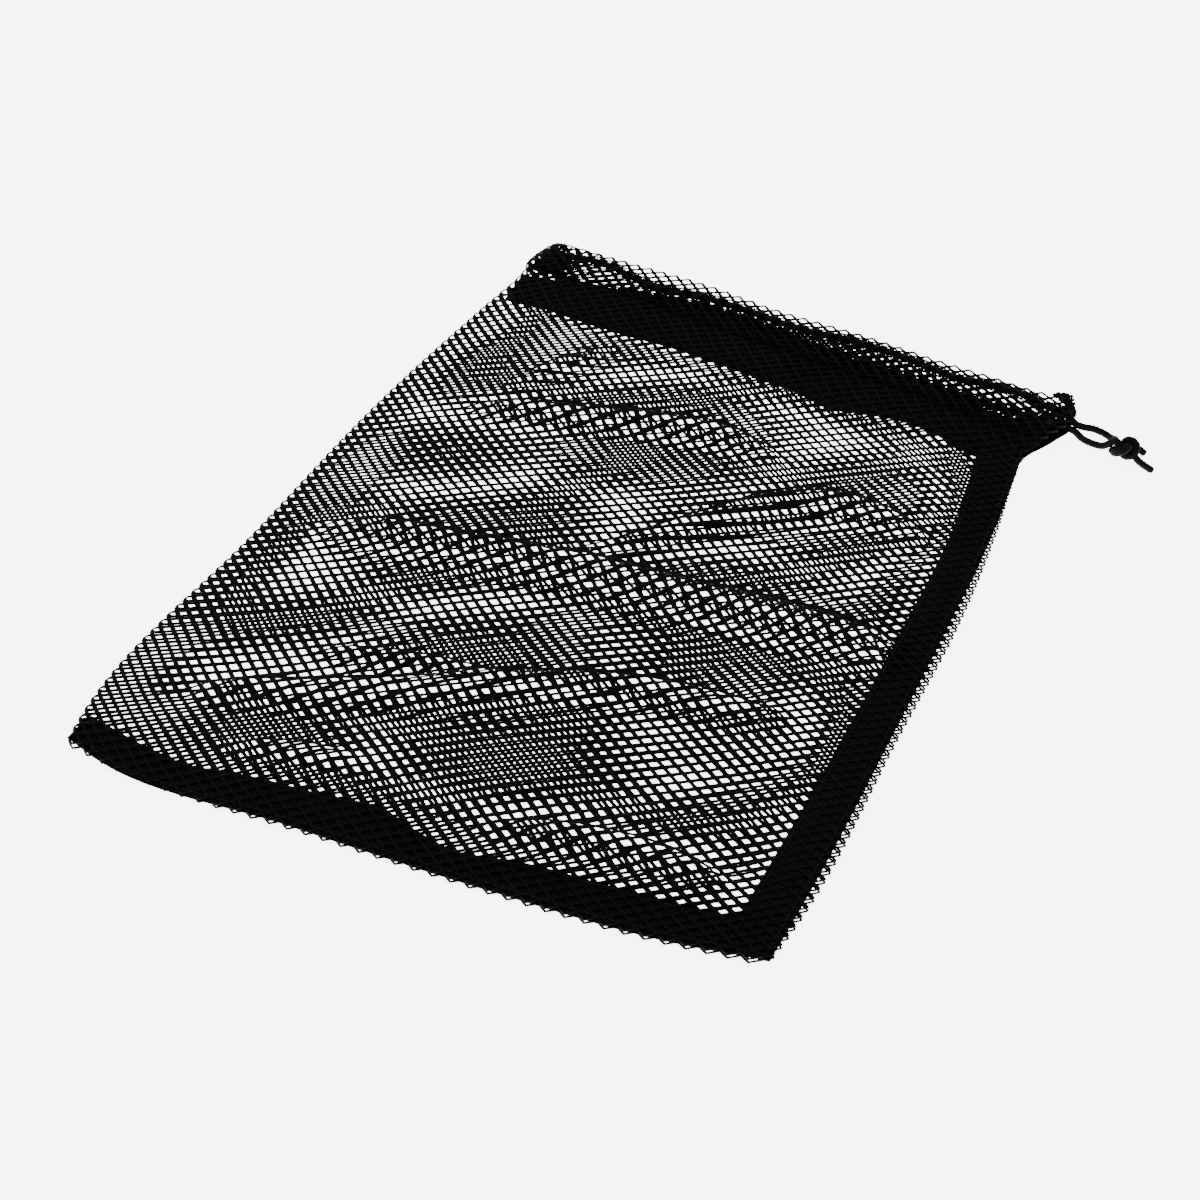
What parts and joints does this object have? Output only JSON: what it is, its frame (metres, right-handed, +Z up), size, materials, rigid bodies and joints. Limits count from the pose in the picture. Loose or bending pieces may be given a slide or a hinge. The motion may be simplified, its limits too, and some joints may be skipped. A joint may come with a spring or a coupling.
{
  "type": "mesh laundry bag",
  "caption": "Flat black mesh laundry bag with a folded side, taped side and bottom seams, a taped hem and a knotted drawcord in a mesh casing.",
  "frame": {"origin": "under the middle of the bag, on the surface it lies on", "axes": "+X across the bag towards the cord outlet, +Y along the bag towards its mouth, +Z up"},
  "size_m": [0.3529, 0.424, 0.0142],
  "materials": {
    "knit_mesh": "matte",
    "seam_tape": "matte",
    "braided_cord": "satin",
    "thread": "satin"
  },
  "bodies": {
    "bag": {"back_mesh_panel": "knit_mesh", "front_mesh_panel": "knit_mesh", "side_fold_mesh": "knit_mesh", "side_seam_tape": "seam_tape", "bottom_seam_tape": "seam_tape", "back_hem_tape": "seam_tape", "front_hem_tape": "seam_tape", "back_cord_casing": "knit_mesh", "front_cord_casing": "knit_mesh", "casing_fold_mesh": "knit_mesh", "side_seam_stitching": "thread", "bottom_seam_stitching": "thread", "back_hem_stitching": "thread", "front_hem_stitching": "thread", "outlet_bar_tacks": "thread"},
    "drawcord": {"drawcord_loop": "braided_cord"},
    "cord_end": {"front_cord_strand": "braided_cord", "back_cord_strand": "braided_cord", "cord_knot": "braided_cord", "long_cord_tail": "braided_cord", "short_cord_tail": "braided_cord"}
  },
  "joints": [
    {"name": "cord_pull", "type": "slide", "parent": "bag", "child": "drawcord", "axis": [0.9955, -0.0948, 0], "range_m": [0, 0.19], "deforming": ["back_cord_casing", "front_cord_casing", "casing_fold_mesh", "back_hem_tape", "front_hem_tape", "back_hem_stitching", "front_hem_stitching"]},
    {"name": "cord_end_swing", "type": "hinge", "parent": "drawcord", "child": "cord_end", "pos_m": [0.1504, 0.1755, 0.0045], "axis": [0, 0, 1], "range_deg": [-60, 90], "deforming": ["front_cord_strand", "back_cord_strand"]}
  ]
}
